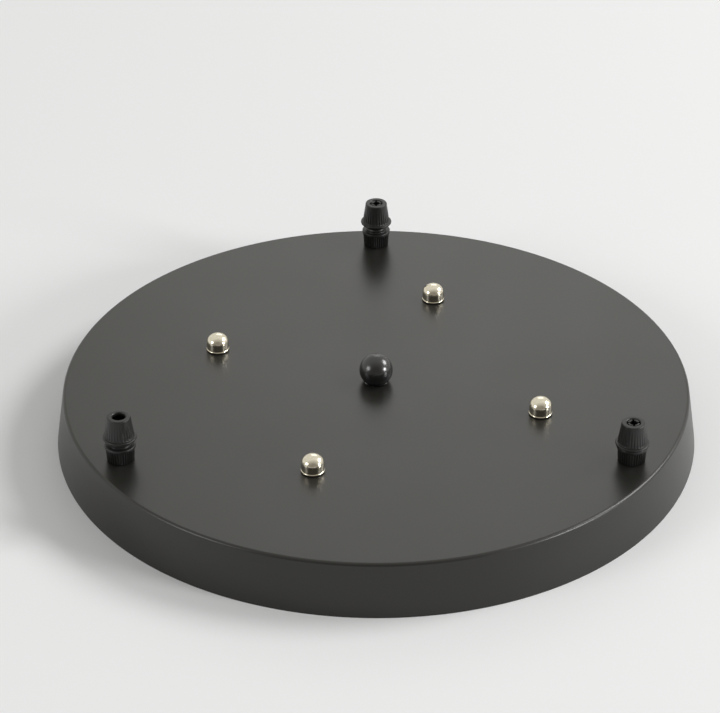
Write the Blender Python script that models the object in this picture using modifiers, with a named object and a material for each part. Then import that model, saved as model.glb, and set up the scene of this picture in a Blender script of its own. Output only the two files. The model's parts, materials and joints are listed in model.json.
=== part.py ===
"""Round ceiling canopy for three pendant lamps, lying rim down with its show face up.

A pressed steel pan carries three plastic cord grips.  Four long screws on a cross of two
steel strips come up through it into round cap nuts, and a ball closes its centre hole.
The origin is the centre of the open rim's plane, +Z points out through the show face and
one grip stands at the back, at +Y.  Every size is in metres.
"""

import math

import bmesh
import bpy
from mathutils import Matrix, Vector

# General
CLEARANCE = 0.0003
THROUGH = 0.0020
FINE_SEGMENTS = 20
HOLE_SEGMENTS = 16
GRIP_SEGMENTS = 24
EDGE_STEPS = 2
CORNER_STEPS = 4
SMOOTH_DEGREES = 35.0

# Pan
RIM_RADIUS = 0.1500
WALL_FLARE = 0.0038
PAN_HEIGHT = 0.0255
SHEET = 0.0010
BEND_RADIUS = 0.0016
PAN_SEGMENTS = 96
BEND_STEPS = 3

# Cord grip: body
GRIP_INSET = 0.0180
GRIP_ANGLES = {"back": 90.0, "left": 210.0, "right": 330.0}
CORD_BORE_RADIUS = 0.0035
TAIL_WALL = 0.0013
TAIL_REACH = 0.0055
BARREL_STEP = 0.0014
BARREL_DRAFT = 0.00035
BODY_HEIGHT = 0.0082
COLLAR_LIP = 0.00045
COLLAR_THICKNESS = 0.0016
COLLAR_ROUND = 0.0003
SOCKET_STEP = 0.00055
SOCKET_FLOOR = 0.0010
NECK_WALL = 0.00095
NECK_HEIGHT = 0.0063
FLUTE_COUNT = 36
FLUTE_DEPTH = 0.0004
FLUTE_SHARE = 0.9

# Cord grip: cap and how far each one is screwed up
CAP_WALL = 0.0014
CAP_TAPER = 0.0014
CAP_LIP = 0.0010
CAP_LIP_THICKNESS = 0.0012
CAP_LAND = 0.0015
CAP_CONE_LENGTH = 0.0035
CAP_EDGE = 0.0004
CAP_FLUTE_COUNT = 30
CAP_FLUTE_DEPTH = 0.0003
CAP_FLUTE_SHARE = 0.6
GRIP_LIFTS = {"back": 0.0036, "left": 0.0028, "right": 0.0}

# Cord grip: clamping collet
JAW_BORE_RADIUS = 0.00175
JAW_WALL = 0.0010
JAW_TIP_LENGTH = 0.0012
JAW_RECESS = 0.0002
JAW_SLOT = 0.0009
COLLET_WALL = 0.00085
COLLET_LENGTH = 0.0054
COLLET_HOOP = 0.0015
COLLET_DROPS = {"back": 0.0, "left": 0.0038, "right": 0.0}

# Lock nut under the pan
LOCK_NUT_WALL = 0.0019
LOCK_NUT_THICKNESS = 0.0030
NUT_CHAMFER = 0.0004
NUT_CHAMFER_WIDTH = 0.0008

# Machine screws
SCREW_RADIUS = 0.0020
HEAD_RADIUS = 0.0038
HEAD_HEIGHT = 0.0024
HEAD_EDGE = 0.0009
RECESS_WIDTH = 0.0009
RECESS_LENGTH = 0.0042
RECESS_DEPTH = 0.0012
END_CHAMFER = 0.0004

# Cap nuts that hold the pan
SCREW_CIRCLE_RADIUS = 0.0806
SCREW_ANGLE = 69.6
SCREW_COUNT = 4
SCREW_ENGAGEMENT = 0.0040
CAP_NUT_WALL = 0.00295
CAP_NUT_HEIGHT = 0.0084
CROWN_RISE = 0.0042
BEAD_LIP = 0.0002
BEAD_HEIGHT = 0.0009
BEAD_TOP_DEGREES = 80.0
DOME_STEPS = 6

# Centre ball
BALL_RADIUS = 0.0078
CENTRE_HOLE_RADIUS = 0.0055
BALL_SCREW_ENGAGEMENT = 0.0050
BALL_WASHER_LAP = 0.0030
WASHER_THICKNESS = 0.0012
BALL_STEPS = 11

# Mounting cross
STRIP_WIDTH = 0.0200
STRIP_THICKNESS = 0.0015
STRIP_END = 0.0095
STRIP_CORNER = 0.0060
CEILING_GAP = 0.0003
HEAD_ROOM = 0.0005
JOGGLE_INSET = 0.0225
JOGGLE_RUN = 0.0040
SLOT_WIDTH = 0.0056
SLOT_LENGTH = 0.0220
SLOT_CENTRE = 0.0370
SLOT_STEPS = 6
RIVET_RADIUS = 0.0025
RIVET_HEAD_LIP = 0.0018
RIVET_HEAD_HEIGHT = 0.0011
EARTH_INSET = 0.0112
EARTH_WASHER_LIP = 0.0007
EARTH_SCREW_TIP = 0.0010

# Sizes that follow from those above
FACE_RADIUS = RIM_RADIUS - WALL_FLARE
INNER_FACE = PAN_HEIGHT - SHEET
GRIP_CIRCLE_RADIUS = RIM_RADIUS - GRIP_INSET
TAIL_RADIUS = CORD_BORE_RADIUS + TAIL_WALL
TAIL_HOLE_RADIUS = TAIL_RADIUS + CLEARANCE
TAIL_LENGTH = SHEET + CLEARANCE + LOCK_NUT_THICKNESS + TAIL_REACH
BARREL_BASE_RADIUS = TAIL_RADIUS + BARREL_STEP
BARREL_TOP_RADIUS = BARREL_BASE_RADIUS + BARREL_DRAFT
COLLAR_RADIUS = BARREL_TOP_RADIUS + COLLAR_LIP
SOCKET_RADIUS = CORD_BORE_RADIUS + SOCKET_STEP
NECK_RADIUS = SOCKET_RADIUS + NECK_WALL
CAP_BORE_RADIUS = NECK_RADIUS + CLEARANCE
CAP_BASE_RADIUS = CAP_BORE_RADIUS + CAP_WALL
CAP_TOP_RADIUS = CAP_BASE_RADIUS - CAP_TAPER
CAP_HEIGHT = NECK_HEIGHT + CAP_CONE_LENGTH + CAP_LAND
CAP_SEAT = BODY_HEIGHT + CLEARANCE
JAW_TIP_RADIUS = JAW_BORE_RADIUS + JAW_WALL
CAP_HOLE_RADIUS = JAW_TIP_RADIUS + CLEARANCE
COLLET_RADIUS = SOCKET_RADIUS - CLEARANCE
SCREW_HOLE_RADIUS = SCREW_RADIUS + CLEARANCE
CAP_NUT_RADIUS = SCREW_HOLE_RADIUS + CAP_NUT_WALL
ARM_UNDERSIDE = CEILING_GAP + HEAD_ROOM + HEAD_HEIGHT + CLEARANCE
ARM_TOP = ARM_UNDERSIDE + STRIP_THICKNESS
LOWER_STRIP_UNDERSIDE = CEILING_GAP
UPPER_STRIP_UNDERSIDE = CEILING_GAP + STRIP_THICKNESS + CLEARANCE
BALL_RISE = math.sqrt((BALL_RADIUS + CLEARANCE) ** 2 - CENTRE_HOLE_RADIUS ** 2)
BALL_FLAT_DROP = BALL_RISE + SHEET / 2


def clear_scene():
    for item in list(bpy.data.objects):
        bpy.data.objects.remove(item, do_unlink=True)


def new_collection(name):
    collection = bpy.data.collections.new(name)
    bpy.context.scene.collection.children.link(collection)
    return collection


def new_material(name, color, roughness, metallic):
    material = bpy.data.materials.new(name)
    material.use_nodes = True
    shader = material.node_tree.nodes["Principled BSDF"]
    shader.inputs["Base Color"].default_value = (*color, 1.0)
    shader.inputs["Roughness"].default_value = roughness
    shader.inputs["Metallic"].default_value = metallic
    material.diffuse_color = (*color, 1.0)
    return material


def new_tool(name, mesh):
    """Put a mesh in the cutters' collection as a wire guide."""
    item = bpy.data.objects.new(name, mesh)
    CUTTERS.objects.link(item)
    item.hide_render = True
    item.display_type = "WIRE"
    return item


def arc(centre, radius, start, end, steps):
    """Points of an arc in the (radius, height) plane, angles in degrees from +radius."""
    points = []
    for step in range(steps + 1):
        angle = math.radians(start + (end - start) * step / steps)
        points.append((centre[0] + radius * math.cos(angle), centre[1] + radius * math.sin(angle)))
    return points


def turned(name, profile, segments, closed):
    """Revolve (radius, height) points: a closed ring, or a line from the axis to the axis."""
    mesh = bpy.data.meshes.new(name)
    vertices = [(radius, 0.0, height) for radius, height in profile]
    edges = [(index, index + 1) for index in range(len(profile) - 1)]
    if closed:
        edges.append((len(profile) - 1, 0))
    mesh.from_pydata(vertices, edges, [])
    item = new_tool(name, mesh)
    screw = item.modifiers.new("turn", "SCREW")
    screw.axis = "Z"
    screw.angle = math.tau
    screw.steps = segments
    screw.render_steps = segments
    screw.use_merge_vertices = True
    screw.merge_threshold = 0.00001
    return item


def combine(target, tool, operation):
    boolean = target.modifiers.new(operation.lower(), "BOOLEAN")
    boolean.operation = operation
    boolean.solver = "EXACT"
    boolean.object = tool
    return target


def baked(item):
    """The item's finished mesh, with its modifiers worked in."""
    bpy.context.view_layer.update()
    depsgraph = bpy.context.evaluated_depsgraph_get()
    mesh = bpy.data.meshes.new_from_object(item.evaluated_get(depsgraph))
    mesh.name = item.name
    return mesh


def cylinders(name, places, radius, bottom, top, segments):
    """One cutter made of upright cylinders at (x, y) places."""
    work = bmesh.new()
    for x, y in places:
        bmesh.ops.create_cone(
            work, cap_ends=True, segments=segments, radius1=radius, radius2=radius,
            depth=top - bottom, matrix=Matrix.Translation((x, y, (top + bottom) / 2)))
    mesh = bpy.data.meshes.new(name)
    work.to_mesh(mesh)
    work.free()
    return new_tool(name, mesh)


def crossed_bars(name, length, width, bottom, top):
    """One cutter made of two upright bars that cross on the axis."""
    work = bmesh.new()
    size = Matrix.Diagonal((length, width, top - bottom, 1.0))
    lift = Matrix.Translation((0.0, 0.0, (top + bottom) / 2))
    bmesh.ops.create_cube(work, size=1.0, matrix=lift @ size)
    mesh = bpy.data.meshes.new(name)
    work.to_mesh(mesh)
    work.free()
    first = new_tool(name, mesh)
    second = new_tool(name + "_across", mesh.copy())
    second.rotation_euler.z = math.pi / 2
    return combine(first, second, "UNION")


def flutes(name, count, depth, half_width, foot, head):
    """A ring of V-edged bars whose inner edges run from foot to head, (radius, height) points."""
    work = bmesh.new()
    line = Vector((head[0] - foot[0], 0.0, head[1] - foot[1]))
    lean = math.atan2(line.x, line.z)
    middle = Vector(((head[0] + foot[0]) / 2 + depth, 0.0, (head[1] + foot[1]) / 2))
    stand = Matrix.Translation(middle) @ Matrix.Rotation(lean, 4, "Y")
    size = Matrix.Diagonal((depth, half_width, 1.0, 1.0))
    for index in range(count):
        turn = Matrix.Rotation(math.tau * (index + 0.5) / count, 4, "Z")
        bmesh.ops.create_cone(
            work, cap_ends=True, segments=4, radius1=1.0, radius2=1.0, depth=line.length,
            matrix=turn @ stand @ size)
    mesh = bpy.data.meshes.new(name)
    work.to_mesh(mesh)
    work.free()
    return new_tool(name, mesh)


def extruded(name, outlines, depth):
    """A prism from flat closed outlines, the inner ones being holes, centred on its plane."""
    curve = bpy.data.curves.new(name, "CURVE")
    curve.dimensions = "2D"
    curve.fill_mode = "BOTH"
    curve.extrude = depth / 2
    for outline in outlines:
        spline = curve.splines.new("POLY")
        spline.points.add(len(outline) - 1)
        for point, (x, y) in zip(spline.points, outline):
            point.co = (x, y, 0.0, 1.0)
        spline.use_cyclic_u = True
    draft = bpy.data.objects.new(name + "_outline", curve)
    CUTTERS.objects.link(draft)
    mesh = baked(draft)
    bpy.data.objects.remove(draft, do_unlink=True)
    work = bmesh.new()
    work.from_mesh(mesh)
    bmesh.ops.remove_doubles(work, verts=work.verts, dist=0.000001)
    bmesh.ops.recalc_face_normals(work, faces=work.faces)
    work.to_mesh(mesh)
    work.free()
    return new_tool(name, mesh)


def place(name, mesh, material, parent=None, location=(0.0, 0.0, 0.0), angle=0.0):
    """Add a finished piece, smooth where it is round, at its place."""
    piece = bpy.data.objects.new(name, mesh)
    PARTS.objects.link(piece)
    if not mesh.materials:
        mesh.materials.append(material)
    mesh.shade_smooth()
    mesh.set_sharp_from_angle(angle=math.radians(SMOOTH_DEGREES))
    piece.parent = parent
    piece.location = location
    piece.rotation_euler.z = angle
    return piece


def place_axis(name, parent=None, location=(0.0, 0.0, 0.0), angle=0.0):
    """Add an empty that carries the pieces on one axis."""
    empty = bpy.data.objects.new(name, None)
    PARTS.objects.link(empty)
    empty.empty_display_size = 0.01
    empty.parent = parent
    empty.location = location
    empty.rotation_euler.z = angle
    return empty


def on_circle(radius, angle):
    turn = math.radians(angle)
    return radius * math.cos(turn), radius * math.sin(turn)


def screw_angles():
    return [SCREW_ANGLE + 360.0 * index / SCREW_COUNT for index in range(SCREW_COUNT)]


def pan_mesh():
    """A pressed dish: flat face, small bend, flared wall and a rim cut level."""
    flare = math.atan2(WALL_FLARE, PAN_HEIGHT)
    wall_shift = SHEET / math.cos(flare)
    bend_reach = BEND_RADIUS * math.tan((math.pi / 2 - flare) / 2)
    bend_centre = (FACE_RADIUS - bend_reach, PAN_HEIGHT - BEND_RADIUS)
    wall_angle = math.degrees(flare)
    outer_bend = arc(bend_centre, BEND_RADIUS, 90.0, wall_angle, BEND_STEPS)
    inner_bend = arc(bend_centre, BEND_RADIUS - SHEET, wall_angle, 90.0, EDGE_STEPS)
    profile = [(0.0, PAN_HEIGHT)]
    profile += outer_bend
    profile += [(RIM_RADIUS, 0.0), (RIM_RADIUS - wall_shift, 0.0)]
    profile += inner_bend
    profile.append((0.0, INNER_FACE))
    pan = turned("pan_blank", profile, PAN_SEGMENTS, closed=False)
    bottom = INNER_FACE - THROUGH
    top = PAN_HEIGHT + THROUGH
    grips = [on_circle(GRIP_CIRCLE_RADIUS, angle) for angle in GRIP_ANGLES.values()]
    screws = [on_circle(SCREW_CIRCLE_RADIUS, angle) for angle in screw_angles()]
    holes = (
        ("grip_holes", grips, TAIL_HOLE_RADIUS),
        ("screw_holes", screws, SCREW_HOLE_RADIUS),
        ("centre_hole", [(0.0, 0.0)], CENTRE_HOLE_RADIUS),
    )
    for name, places, radius in holes:
        combine(pan, cylinders(name, places, radius, bottom, top, HOLE_SEGMENTS), "DIFFERENCE")
    return baked(pan)


def grip_body_mesh():
    """Threaded tail, fluted barrel, collar and threaded neck on one cord bore."""
    collar_under = BODY_HEIGHT - COLLAR_THICKNESS
    neck_top = BODY_HEIGHT + NECK_HEIGHT
    round_radius = COLLAR_RADIUS - COLLAR_ROUND
    upper_edge = (round_radius, BODY_HEIGHT - COLLAR_ROUND)
    lower_edge = (round_radius, collar_under + COLLAR_ROUND)
    profile = [(NECK_RADIUS, neck_top), (NECK_RADIUS, BODY_HEIGHT)]
    profile += arc(upper_edge, COLLAR_ROUND, 90.0, 0.0, EDGE_STEPS)
    profile += arc(lower_edge, COLLAR_ROUND, 0.0, -90.0, EDGE_STEPS)
    profile += [
        (BARREL_TOP_RADIUS, collar_under),
        (BARREL_BASE_RADIUS, CLEARANCE),
        (TAIL_RADIUS, CLEARANCE),
        (TAIL_RADIUS, END_CHAMFER - TAIL_LENGTH),
        (TAIL_RADIUS - END_CHAMFER, -TAIL_LENGTH),
        (CORD_BORE_RADIUS, -TAIL_LENGTH),
        (CORD_BORE_RADIUS, BODY_HEIGHT + SOCKET_FLOOR),
        (SOCKET_RADIUS, BODY_HEIGHT + SOCKET_FLOOR),
        (SOCKET_RADIUS, neck_top),
    ]
    body = turned("grip_body_blank", profile, GRIP_SEGMENTS, closed=True)
    slope = BARREL_DRAFT / (collar_under - CLEARANCE)
    foot = (BARREL_BASE_RADIUS - FLUTE_DEPTH - slope * THROUGH, CLEARANCE - THROUGH)
    head = (BARREL_TOP_RADIUS - FLUTE_DEPTH, collar_under - CLEARANCE)
    half_width = math.pi * BARREL_BASE_RADIUS / FLUTE_COUNT * FLUTE_SHARE
    cutter = flutes("barrel_flutes", FLUTE_COUNT, FLUTE_DEPTH, half_width, foot, head)
    return baked(combine(body, cutter, "DIFFERENCE"))


def grip_cap_mesh():
    """Tapered cap with a lip, a threaded bore and an inner cone that shuts the jaws."""
    cone_foot = CAP_HEIGHT - CAP_LAND
    lip_round = CAP_LIP_THICKNESS / 2
    profile = [(CAP_HOLE_RADIUS + CAP_EDGE, CAP_HEIGHT)]
    top_edge = (CAP_TOP_RADIUS - CAP_EDGE, CAP_HEIGHT - CAP_EDGE)
    profile += arc(top_edge, CAP_EDGE, 90.0, 0.0, EDGE_STEPS)
    profile.append((CAP_BASE_RADIUS, CAP_LIP_THICKNESS))
    lip_centre = (CAP_BASE_RADIUS + CAP_LIP - lip_round, lip_round)
    profile += arc(lip_centre, lip_round, 90.0, -90.0, EDGE_STEPS)
    profile += [
        (CAP_BORE_RADIUS, 0.0),
        (CAP_BORE_RADIUS, NECK_HEIGHT),
        (CAP_HOLE_RADIUS, cone_foot),
        (CAP_HOLE_RADIUS, CAP_HEIGHT - CAP_EDGE),
    ]
    cap = turned("grip_cap_blank", profile, GRIP_SEGMENTS, closed=True)
    foot = (CAP_BASE_RADIUS - CAP_FLUTE_DEPTH, CAP_LIP_THICKNESS + CLEARANCE)
    head = (CAP_TOP_RADIUS, CAP_HEIGHT - CAP_LAND)
    half_width = math.pi * CAP_BASE_RADIUS / CAP_FLUTE_COUNT * CAP_FLUTE_SHARE
    cutter = flutes("cap_flutes", CAP_FLUTE_COUNT, CAP_FLUTE_DEPTH, half_width, foot, head)
    return baked(combine(cap, cutter, "DIFFERENCE"))


def collet_mesh():
    """Slotted sleeve whose four jaws meet in the cap's hole, measured from the cap's foot."""
    tip = CAP_HEIGHT - JAW_RECESS
    foot = tip - COLLET_LENGTH
    shoulder = CAP_HEIGHT - CAP_LAND
    slope = (CAP_BORE_RADIUS - CAP_HOLE_RADIUS) / CAP_CONE_LENGTH
    flare_foot = shoulder - (COLLET_RADIUS - JAW_TIP_RADIUS) / slope
    inner_radius = COLLET_RADIUS - COLLET_WALL
    profile = [
        (JAW_TIP_RADIUS - CAP_EDGE / 2, tip),
        (JAW_TIP_RADIUS, tip - CAP_EDGE / 2),
        (JAW_TIP_RADIUS, shoulder),
        (COLLET_RADIUS, flare_foot),
        (COLLET_RADIUS, foot),
        (inner_radius, foot),
        (inner_radius, flare_foot - COLLET_WALL / 2),
        (JAW_BORE_RADIUS, tip - JAW_TIP_LENGTH),
        (JAW_BORE_RADIUS, tip),
    ]
    collet = turned("collet_blank", profile, HOLE_SEGMENTS, closed=True)
    bar_length = (COLLET_RADIUS + THROUGH) * 2
    slots = crossed_bars("jaw_slots", bar_length, JAW_SLOT, foot + COLLET_HOOP, tip + THROUGH)
    return baked(combine(collet, slots, "DIFFERENCE"))


def lock_nut_mesh():
    """Hexagon nut with both ends chamfered, its top face at height zero."""
    bore = TAIL_RADIUS + CLEARANCE
    flat = bore + LOCK_NUT_WALL
    corner = flat / math.cos(math.pi / 6)
    profile = [
        (0.0, 0.0),
        (corner - NUT_CHAMFER_WIDTH, 0.0),
        (corner, -NUT_CHAMFER),
        (corner, NUT_CHAMFER - LOCK_NUT_THICKNESS),
        (corner - NUT_CHAMFER_WIDTH, -LOCK_NUT_THICKNESS),
        (0.0, -LOCK_NUT_THICKNESS),
    ]
    drum = turned("lock_nut_drum", profile, FINE_SEGMENTS, closed=False)
    bottom = -LOCK_NUT_THICKNESS - THROUGH
    hexagon = cylinders("lock_nut_hexagon", [(0.0, 0.0)], corner, bottom, THROUGH, 6)
    hole = cylinders("lock_nut_bore", [(0.0, 0.0)], bore, bottom, THROUGH, HOLE_SEGMENTS)
    return baked(combine(combine(drum, hexagon, "INTERSECT"), hole, "DIFFERENCE"))


def cap_nut_mesh():
    """Round domed nut with a bead at its foot and a blind threaded hole."""
    crown_start = CAP_NUT_HEIGHT - CROWN_RISE
    crown_share = CROWN_RISE / CAP_NUT_RADIUS
    hole_top = SCREW_ENGAGEMENT + CLEARANCE
    bead_round = BEAD_HEIGHT / 2
    bead_centre = (CAP_NUT_RADIUS + BEAD_LIP - bead_round, CLEARANCE + bead_round)
    dome = arc((0.0, 0.0), CAP_NUT_RADIUS, 90.0, 0.0, DOME_STEPS)
    profile = [(0.0, CAP_NUT_HEIGHT)]
    profile += [(radius, crown_start + height * crown_share) for radius, height in dome[1:]]
    profile.append((CAP_NUT_RADIUS, BEAD_HEIGHT + CLEARANCE))
    profile += arc(bead_centre, bead_round, BEAD_TOP_DEGREES, -90.0, EDGE_STEPS)
    profile += [(SCREW_HOLE_RADIUS, CLEARANCE), (SCREW_HOLE_RADIUS, hole_top), (0.0, hole_top)]
    return baked(turned("cap_nut_blank", profile, FINE_SEGMENTS, closed=False))


def machine_screw_mesh(name, length):
    """Cross-recessed pan-head screw, head down, its bearing face at height zero."""
    profile = [
        (0.0, length),
        (SCREW_RADIUS - END_CHAMFER, length),
        (SCREW_RADIUS, length - END_CHAMFER),
        (SCREW_RADIUS, 0.0),
        (HEAD_RADIUS, 0.0),
    ]
    edge_centre = (HEAD_RADIUS - HEAD_EDGE, HEAD_EDGE - HEAD_HEIGHT)
    profile += arc(edge_centre, HEAD_EDGE, 0.0, -90.0, EDGE_STEPS)
    profile.append((0.0, -HEAD_HEIGHT))
    screw = turned(name + "_blank", profile, HOLE_SEGMENTS, closed=False)
    bottom = -HEAD_HEIGHT - THROUGH
    top = RECESS_DEPTH - HEAD_HEIGHT
    recess = crossed_bars(name + "_recess", RECESS_LENGTH, RECESS_WIDTH, bottom, top)
    return baked(combine(screw, recess, "DIFFERENCE"))


def washer_mesh(name, outer_radius, inner_radius, thickness):
    """Flat ring with its top face at height zero."""
    profile = [
        (outer_radius, 0.0),
        (outer_radius, -thickness),
        (inner_radius, -thickness),
        (inner_radius, 0.0),
    ]
    return baked(turned(name + "_blank", profile, FINE_SEGMENTS, closed=True))


def ball_mesh():
    """Ball about its own centre, with a flat foot and a blind threaded hole."""
    flat_angle = -math.degrees(math.asin(BALL_FLAT_DROP / BALL_RADIUS))
    sphere = arc((0.0, 0.0), BALL_RADIUS, 90.0, flat_angle, BALL_STEPS)
    hole_top = BALL_SCREW_ENGAGEMENT - BALL_RISE + CLEARANCE
    profile = [(0.0, BALL_RADIUS)]
    profile += sphere[1:]
    profile += [(SCREW_HOLE_RADIUS, -BALL_FLAT_DROP), (SCREW_HOLE_RADIUS, hole_top), (0.0, hole_top)]
    return baked(turned("ball_blank", profile, FINE_SEGMENTS, closed=False))


def rounded_outline(length, width, radius):
    """Outline of a plate with rounded corners, centred on the origin."""
    points = []
    for start, x_side, y_side in ((0.0, 1, 1), (90.0, -1, 1), (180.0, -1, -1), (270.0, 1, -1)):
        centre = (x_side * (length / 2 - radius), y_side * (width / 2 - radius))
        points += arc(centre, radius, start, start + 90.0, CORNER_STEPS)
    return points


def slot_outline(length, width):
    """Outline of a slot with round ends, centred on the origin."""
    reach = (length - width) / 2
    right = arc((reach, 0.0), width / 2, -90.0, 90.0, SLOT_STEPS)
    return right + [(-x, -y) for x, y in right]


def hole_outline(radius):
    step = 360.0 / HOLE_SEGMENTS
    return arc((0.0, 0.0), radius, 0.0, 360.0 - step, HOLE_SEGMENTS - 1)


def shifted(points, x):
    return [(point_x + x, point_y) for point_x, point_y in points]


def strip_side(underside):
    """Side view of a strip: level middle, a joggle and a raised arm at each end."""
    end = SCREW_CIRCLE_RADIUS + STRIP_END + THROUGH
    arm_start = SCREW_CIRCLE_RADIUS - JOGGLE_INSET
    joggle_start = arm_start - JOGGLE_RUN
    half = [(joggle_start, underside), (arm_start, ARM_UNDERSIDE), (end, ARM_UNDERSIDE)]
    lower = [(-x, z) for x, z in reversed(half)] + half
    upper = [(x, z + STRIP_THICKNESS) for x, z in reversed(lower)]
    return lower + upper


def strip_mesh(name, underside, centre_hole, has_earth_hole):
    """A strip bent to its side view and cut to its plan, with slots and tapped holes."""
    reach = SCREW_CIRCLE_RADIUS + STRIP_END
    plan = [rounded_outline(reach * 2, STRIP_WIDTH, STRIP_CORNER)]
    slot = slot_outline(SLOT_LENGTH, SLOT_WIDTH)
    tapped = hole_outline(SCREW_HOLE_RADIUS)
    for side in (-1, 1):
        plan.append(shifted(slot, side * SLOT_CENTRE))
        plan.append(shifted(tapped, side * SCREW_CIRCLE_RADIUS))
    plan.append(hole_outline(centre_hole))
    if has_earth_hole:
        plan.append(shifted(tapped, SCREW_CIRCLE_RADIUS - EARTH_INSET))
    side_view = extruded(name + "_side", [strip_side(underside)], STRIP_WIDTH + THROUGH)
    side_view.rotation_euler.x = math.pi / 2
    plan_view = extruded(name + "_plan", plan, (ARM_TOP + THROUGH) * 2)
    return baked(combine(plan_view, side_view, "INTERSECT"))


def countersink(mesh, name):
    """Cut the cone for the rivet's flush head into the underside of the lower strip."""
    strip = new_tool(name + "_strip", mesh)
    wide = RIVET_RADIUS + RIVET_HEAD_LIP + CLEARANCE
    narrow = RIVET_RADIUS + CLEARANCE
    profile = [
        (0.0, CEILING_GAP + RIVET_HEAD_HEIGHT),
        (narrow, CEILING_GAP + RIVET_HEAD_HEIGHT),
        (wide, CEILING_GAP),
        (wide, CEILING_GAP - THROUGH),
        (0.0, CEILING_GAP - THROUGH),
    ]
    cone = turned(name, profile, HOLE_SEGMENTS, closed=False)
    return baked(combine(strip, cone, "DIFFERENCE"))


def rivet_mesh():
    """Solid rivet through both strips: flush cone below, low button head above."""
    seat = UPPER_STRIP_UNDERSIDE + STRIP_THICKNESS + CLEARANCE
    head_radius = RIVET_RADIUS + RIVET_HEAD_LIP
    button_centre = (head_radius - RIVET_HEAD_HEIGHT, seat)
    button = arc(button_centre, RIVET_HEAD_HEIGHT, 90.0, 0.0, CORNER_STEPS)
    profile = [(0.0, seat + RIVET_HEAD_HEIGHT)]
    profile += button
    profile += [
        (RIVET_RADIUS, seat),
        (RIVET_RADIUS, CEILING_GAP + RIVET_HEAD_HEIGHT),
        (head_radius, CEILING_GAP),
        (0.0, CEILING_GAP),
    ]
    return baked(turned("rivet_blank", profile, HOLE_SEGMENTS, closed=False))


def build_pan(powder_coat):
    place("canopy_pan", pan_mesh(), powder_coat)


def build_grips(plastic, zinc):
    """Three cord grips, each on its own axis; the cap and the collet share a lift."""
    body = grip_body_mesh()
    cap = grip_cap_mesh()
    collet = collet_mesh()
    lock_nut = lock_nut_mesh()
    for side, angle in GRIP_ANGLES.items():
        x, y = on_circle(GRIP_CIRCLE_RADIUS, angle)
        axis = place_axis(f"grip_axis_{side}", location=(x, y, PAN_HEIGHT))
        place(f"grip_body_{side}", body, plastic, axis)
        place(f"grip_lock_nut_{side}", lock_nut, zinc, axis, (0.0, 0.0, -SHEET - CLEARANCE))
        lift = place_axis(f"grip_lift_{side}", axis, (0.0, 0.0, CAP_SEAT + GRIP_LIFTS[side]))
        place(f"grip_collet_{side}", collet, plastic, lift, (0.0, 0.0, -COLLET_DROPS[side]))
        place(f"grip_cap_{side}", cap, plastic, lift)


def build_pan_fixings(nickel, zinc):
    """Four long screws from the cross, each with a domed nut on the show face."""
    bearing = ARM_UNDERSIDE - CLEARANCE
    screw = machine_screw_mesh("bracket_screw", PAN_HEIGHT + SCREW_ENGAGEMENT - bearing)
    nut = cap_nut_mesh()
    for number, angle in enumerate(screw_angles(), start=1):
        x, y = on_circle(SCREW_CIRCLE_RADIUS, angle)
        place(f"bracket_screw_{number}", screw, zinc, location=(x, y, bearing))
        place(f"cap_nut_{number}", nut, nickel, location=(x, y, PAN_HEIGHT))


def build_centre_ball(gloss_black, zinc):
    """The ball in the centre hole, drawn down by a screw and a washer from inside."""
    hole = SCREW_HOLE_RADIUS
    washer = washer_mesh("ball_washer", CENTRE_HOLE_RADIUS + BALL_WASHER_LAP, hole, WASHER_THICKNESS)
    washer_top = INNER_FACE - CLEARANCE
    bearing = washer_top - WASHER_THICKNESS - CLEARANCE
    screw = machine_screw_mesh("ball_screw", PAN_HEIGHT + BALL_SCREW_ENGAGEMENT - bearing)
    place("centre_ball", ball_mesh(), gloss_black, location=(0.0, 0.0, PAN_HEIGHT + BALL_RISE))
    place("centre_washer", washer, zinc, location=(0.0, 0.0, washer_top))
    place("centre_screw", screw, zinc, location=(0.0, 0.0, bearing))


def build_cross(zinc, brass):
    """Two crossed strips on a rivet, with an earth screw and washer on one arm."""
    turn = math.radians(SCREW_ANGLE)
    hole = RIVET_RADIUS + CLEARANCE
    lower = countersink(strip_mesh("lower_strip", LOWER_STRIP_UNDERSIDE, hole, False), "countersink")
    upper = strip_mesh("upper_strip", UPPER_STRIP_UNDERSIDE, hole, True)
    place("cross_strip_lower", lower, zinc, angle=turn)
    place("cross_strip_upper", upper, zinc, angle=turn - math.pi / 2)
    place("cross_rivet", rivet_mesh(), zinc)
    x, y = on_circle(SCREW_CIRCLE_RADIUS - EARTH_INSET, SCREW_ANGLE - 90.0)
    washer_top = ARM_TOP + CLEARANCE + WASHER_THICKNESS
    bearing = washer_top + CLEARANCE
    washer_radius = HEAD_RADIUS + EARTH_WASHER_LIP
    washer = washer_mesh("earth_washer", washer_radius, SCREW_HOLE_RADIUS, WASHER_THICKNESS)
    screw = machine_screw_mesh("earth_screw", bearing - ARM_UNDERSIDE + EARTH_SCREW_TIP)
    place("earth_washer", washer, brass, location=(x, y, washer_top))
    earth_screw = place("earth_screw", screw, brass, location=(x, y, bearing))
    earth_screw.rotation_euler.x = math.pi


def build():
    powder_coat = new_material("black_powder_coat", (0.030, 0.030, 0.028), 0.45, 0.0)
    plastic = new_material("black_plastic", (0.012, 0.012, 0.012), 0.42, 0.0)
    gloss_black = new_material("gloss_black", (0.010, 0.010, 0.010), 0.12, 0.0)
    nickel = new_material("bright_nickel", (0.78, 0.74, 0.66), 0.12, 1.0)
    zinc = new_material("zinc_plate", (0.62, 0.64, 0.66), 0.32, 1.0)
    brass = new_material("brass", (0.72, 0.55, 0.25), 0.30, 1.0)
    build_pan(powder_coat)
    build_grips(plastic, zinc)
    build_pan_fixings(nickel, zinc)
    build_centre_ball(gloss_black, zinc)
    build_cross(zinc, brass)


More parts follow.
